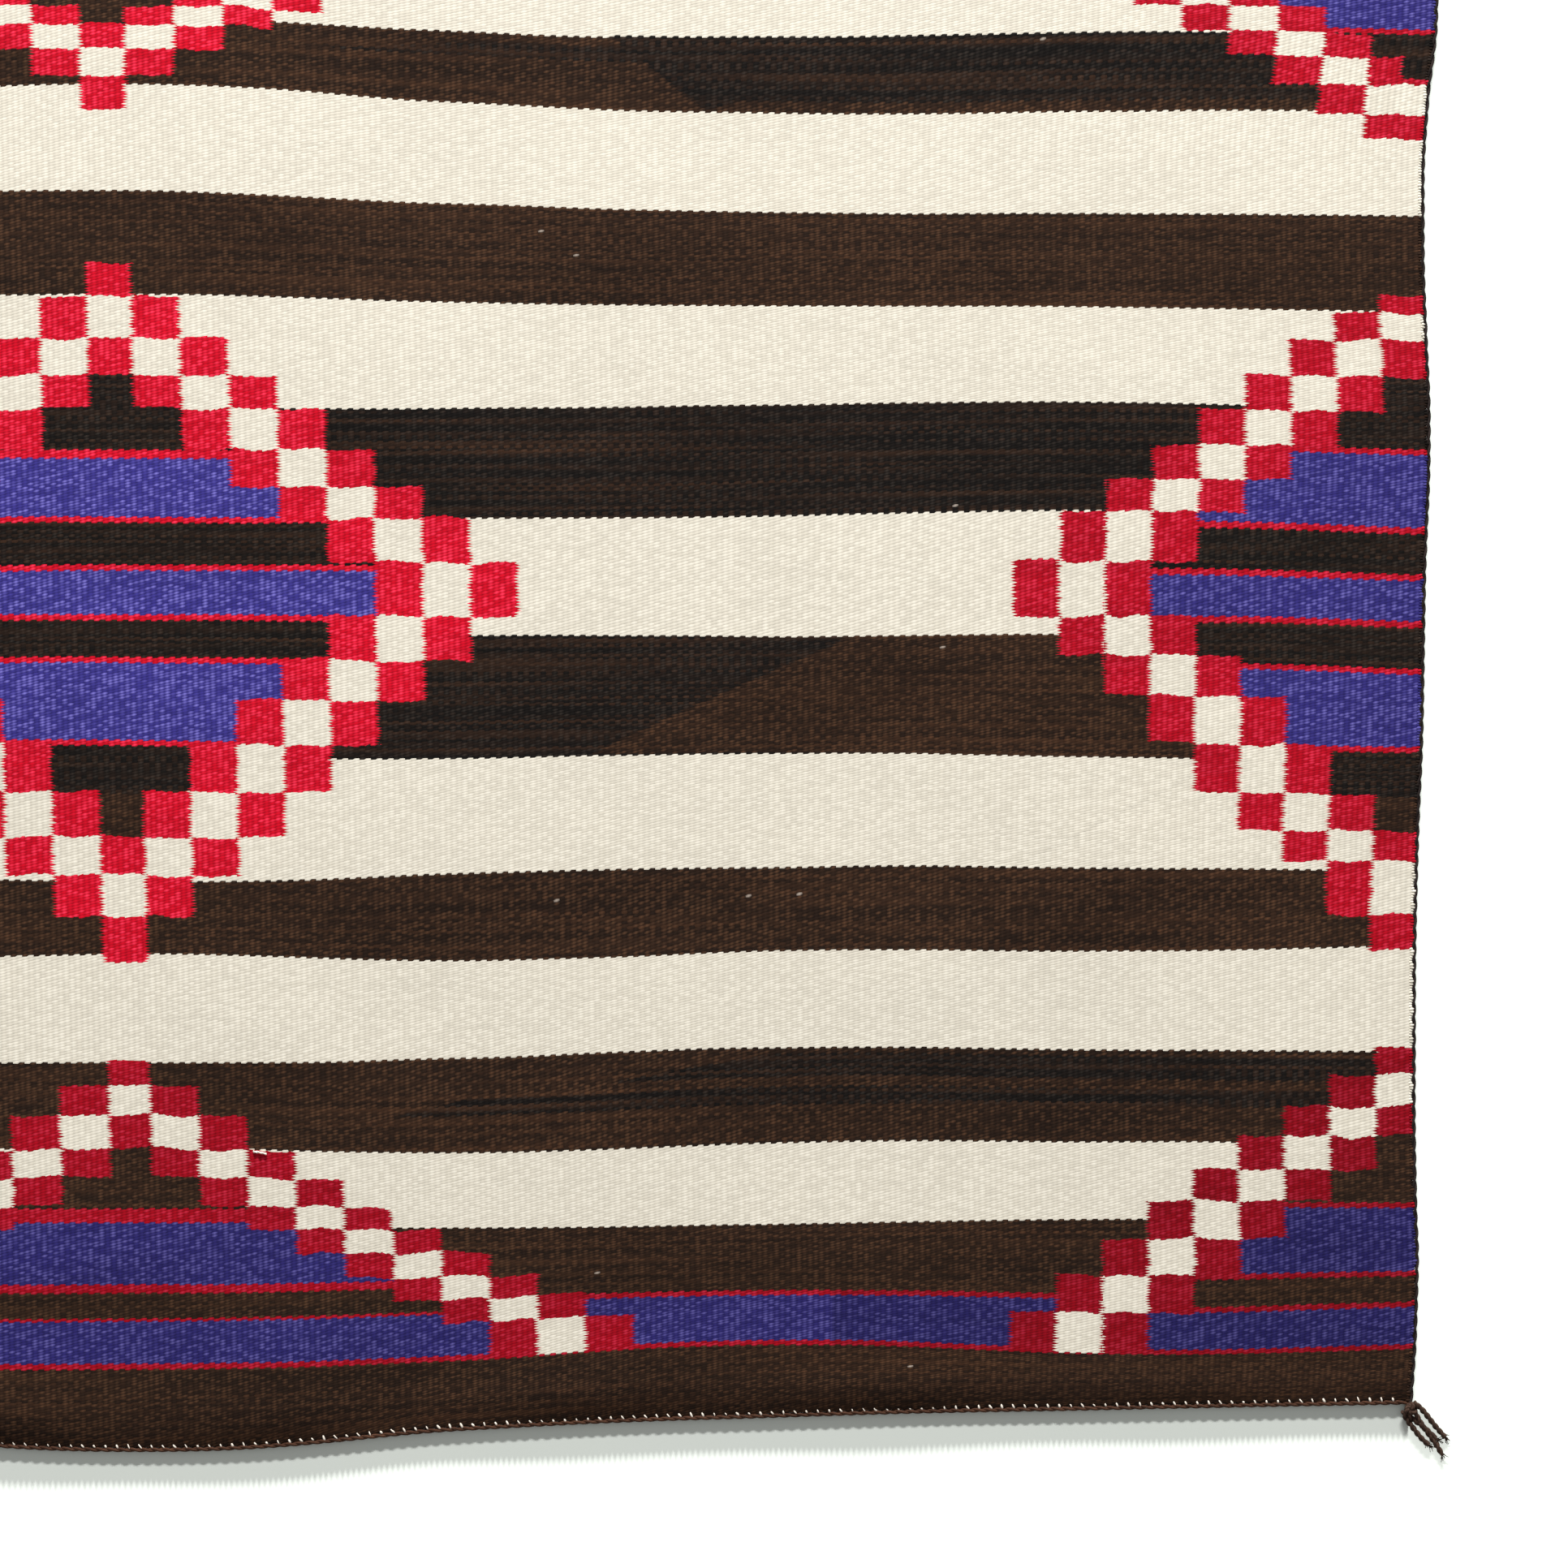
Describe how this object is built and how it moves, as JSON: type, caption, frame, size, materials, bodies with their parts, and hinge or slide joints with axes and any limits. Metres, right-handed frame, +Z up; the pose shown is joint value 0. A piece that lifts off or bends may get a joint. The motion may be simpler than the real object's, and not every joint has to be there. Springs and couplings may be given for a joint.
{
  "type": "chief blanket",
  "caption": "Handwoven wool wearing blanket laid flat, with stepped diamonds over broad stripes, corded edges and a tassel at each corner.",
  "frame": {"origin": "on the floor under the middle of the blanket's whole box", "axes": "+X across the blanket's width along the stripes, +Y along the warps towards its top end, +Z up out of its face"},
  "size_m": [1.8372, 1.1844, 0.0064],
  "materials": {
    "cloth_wool": "matt weft-faced wool in cream, dark brown, black, blue and red",
    "cord_wool": "matt dark brown two-ply wool cord",
    "tassel_wool": "matt dark brown wool ends, frayed at the tips"
  },
  "bodies": {
    "root": {"woven_cloth": "cloth_wool", "side_cord_left": "cord_wool", "side_cord_right": "cord_wool", "end_cord_top": "cord_wool", "end_cord_bottom": "cord_wool", "tassel_top_left": "tassel_wool", "tassel_top_right": "tassel_wool", "tassel_bottom_left": "tassel_wool", "tassel_bottom_right": "tassel_wool"}
  },
  "joints": []
}
